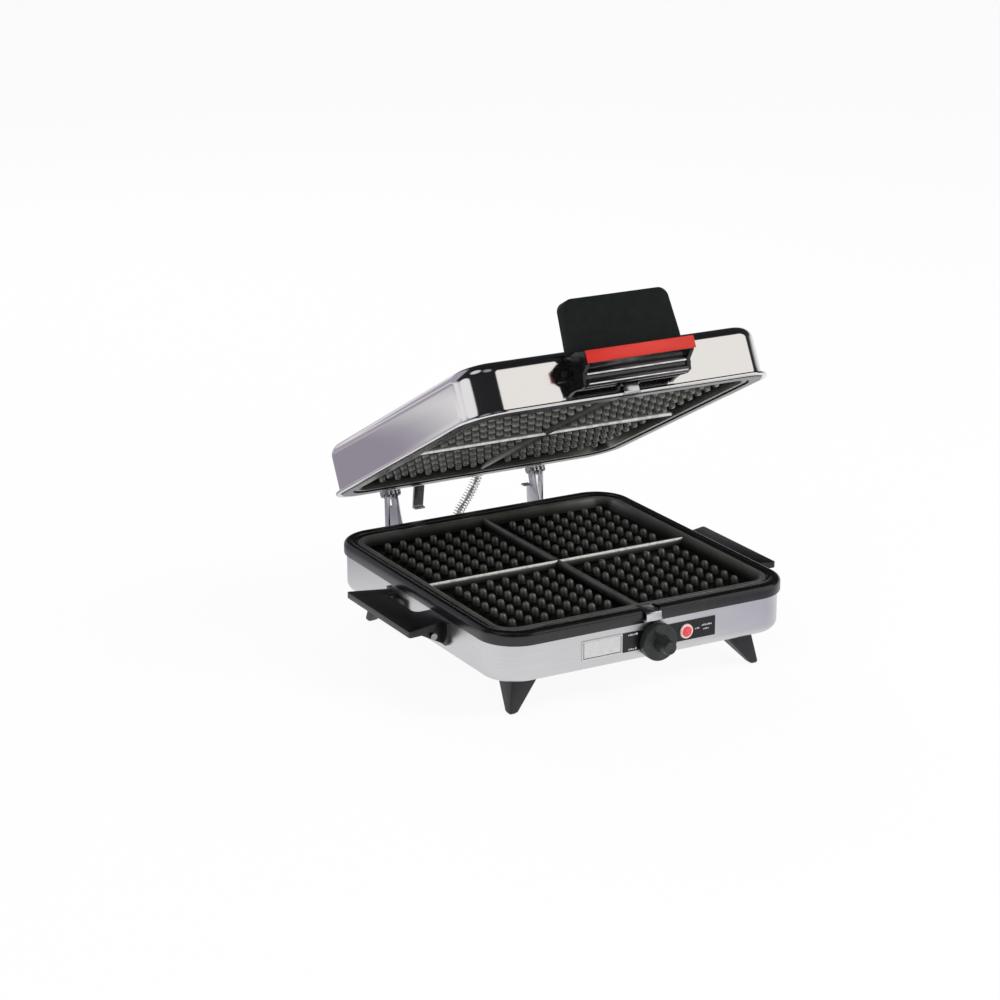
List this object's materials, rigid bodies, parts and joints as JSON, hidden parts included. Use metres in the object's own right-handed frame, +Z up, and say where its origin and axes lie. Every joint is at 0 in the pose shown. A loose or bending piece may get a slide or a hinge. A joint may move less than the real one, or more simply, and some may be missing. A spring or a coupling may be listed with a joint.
{
  "type": "waffle maker",
  "caption": "Square family waffle iron with chrome lid raised on slotted hinges, black reversible grids, satin steel base on wedge feet, red-striped lid handle and browning knob",
  "frame": {"origin": "On the table plane under the centre of the bounding box of the iron with its lid open as shown. In height it is level with the soles of the feet.", "axes": "+X to the right seen from the front, where the knob is. +Y to the back, where the lid hinges are. +Z up."},
  "size_m": [0.327, 0.3234, 0.2978],
  "materials": {
    "satin_steel": "satin stainless sheet, fine grain along the long walls",
    "chrome": "polished chrome plate on pressed steel",
    "bright_steel": "bright plated strip and wire",
    "fasteners": "bright screws, rivets and pins",
    "black_rim": "satin black phenolic moulding",
    "grid_coating": "cast aluminium under a dark non-stick coating",
    "heater_sheath": "heat-tinted steel sheath",
    "reflector_sheet": "bright aluminised sheet",
    "black_phenolic": "black heatproof phenolic with a light moulded sheen",
    "black_enamel": "black baked enamel on pressed steel",
    "red_plastic": "glossy red moulded strip",
    "label_film": null,
    "plate_sheet": "bare etched aluminium plate",
    "lamp_red": "clear red lamp lens",
    "lamp_ring": "pale moulded lamp ring",
    "ceramic": "unglazed ceramic and mica"
  },
  "bodies": {
    "base": {"base_shell": "satin_steel", "bottom_cover": "satin_steel", "base_rim": "black_rim", "lower_grid": "grid_coating", "lower_element": "heater_sheath", "lower_reflector": "reflector_sheet", "thermostat": "ceramic", "terminal_block": "ceramic", "foot_front_left": "black_phenolic", "foot_front_right": "black_phenolic", "foot_rear_left": "black_phenolic", "foot_rear_right": "black_phenolic", "left_handle": "black_phenolic", "right_handle": "black_phenolic", "handle_screws": "fasteners", "name_plate": "plate_sheet", "control_label": "label_film", "lamp_bezel": "lamp_ring", "lamp_lens": "lamp_red", "hinge_bracket_left": "bright_steel", "hinge_bracket_right": "bright_steel", "bracket_rivets": "fasteners", "cord_inlet": "black_phenolic", "conduit_gland": "bright_steel", "wire_conduit": "bright_steel", "cover_screws": "fasteners", "lower_clip_pin": "fasteners"},
    "base_clip": {"lower_clip": "bright_steel"},
    "knob": {"knob": "black_phenolic", "thermostat_shaft": "fasteners"},
    "hinge_pins": {"hinge_pin_left": "fasteners", "hinge_pin_right": "fasteners"},
    "lid": {"lid_shell": "chrome", "lid_rim": "black_rim", "upper_grid": "grid_coating", "upper_element": "heater_sheath", "upper_reflector": "reflector_sheet", "handle_bracket": "black_enamel", "handle_plate": "black_phenolic", "handle_grip": "black_phenolic", "red_strip": "red_plastic", "lid_screws": "fasteners", "lid_arm_left": "bright_steel", "lid_arm_right": "bright_steel", "rear_hook": "bright_steel", "wire_cover": "bright_steel", "upper_clip_pin": "fasteners"},
    "lid_clip": {"upper_clip": "bright_steel"}
  },
  "joints": [
    {"name": "lid_hinge", "type": "hinge", "parent": "base", "child": "hinge_pins", "pos_m": [0, 0.14716, 0.09085], "axis": [-1, 0, 0], "range_deg": [-28, 150], "deforming": ["wire_conduit"]},
    {"name": "lid_float", "type": "slide", "parent": "hinge_pins", "child": "lid", "axis": [0, 0.4695, 0.8829], "range_m": [-0.01935, 0], "deforming": ["wire_conduit"]},
    {"name": "knob_turn", "type": "hinge", "parent": "base", "child": "knob", "pos_m": [0.005, -0.15184, 0.044], "axis": [0, 1, 0], "range_deg": [-60, 210]},
    {"name": "base_clip_flex", "type": "hinge", "parent": "base", "child": "base_clip", "pos_m": [0, -0.14414, 0.0622], "axis": [1, 0, 0], "range_deg": [0, 25], "stiffness_Nm_per_rad": 0.02},
    {"name": "lid_clip_flex", "type": "hinge", "parent": "lid", "child": "lid_clip", "pos_m": [0, -0.10662, 0.23405], "axis": [-1, 0, 0], "range_deg": [0, 25], "stiffness_Nm_per_rad": 0.02}
  ]
}
